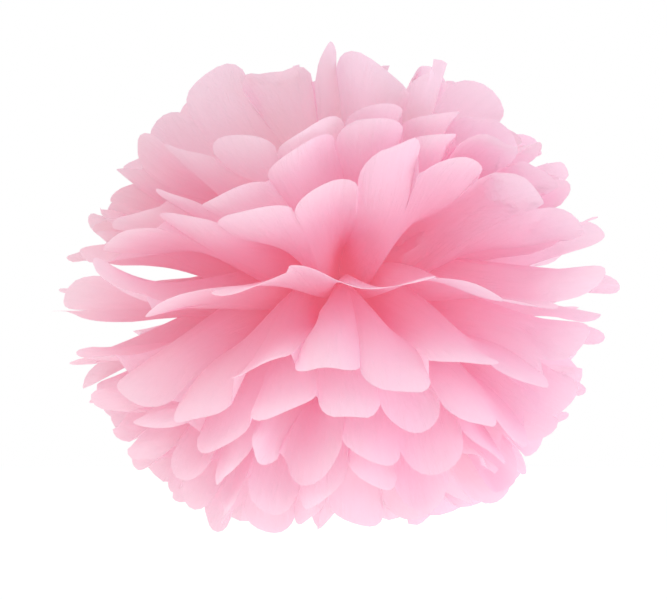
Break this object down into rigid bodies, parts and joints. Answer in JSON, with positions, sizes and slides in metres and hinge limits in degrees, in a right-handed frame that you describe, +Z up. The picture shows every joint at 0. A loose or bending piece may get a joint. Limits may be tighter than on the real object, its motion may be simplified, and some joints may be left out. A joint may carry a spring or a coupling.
{
  "type": "tissue paper pom pom",
  "caption": "Round hanging pom pom of pleated tissue paper sheets, tied across the middle with wire and fluffed open into rounded petals.",
  "frame": {"origin": "where the hanging thread passes through the eye of the tie wire, 23 mm above the middle of the tied bundle", "axes": "+Z up along the axis of the fan, as it hangs; the wire crosses the bundle along X, so one half fan opens towards -Y and the other towards +Y"},
  "size_m": [0.3477, 0.3473, 0.3115],
  "materials": {
    "tissue": "thin light pink tissue paper, matt, slightly translucent, with soft creases",
    "wire": "thin galvanised floral wire"
  },
  "bodies": {
    "root": {"upper_sheet_1": "tissue", "upper_sheet_2": "tissue", "upper_sheet_3": "tissue", "upper_sheet_4": "tissue", "upper_sheet_5": "tissue", "lower_sheet_1": "tissue", "lower_sheet_2": "tissue", "lower_sheet_3": "tissue", "lower_sheet_4": "tissue", "lower_sheet_5": "tissue", "tie_wire": "wire"}
  },
  "joints": []
}
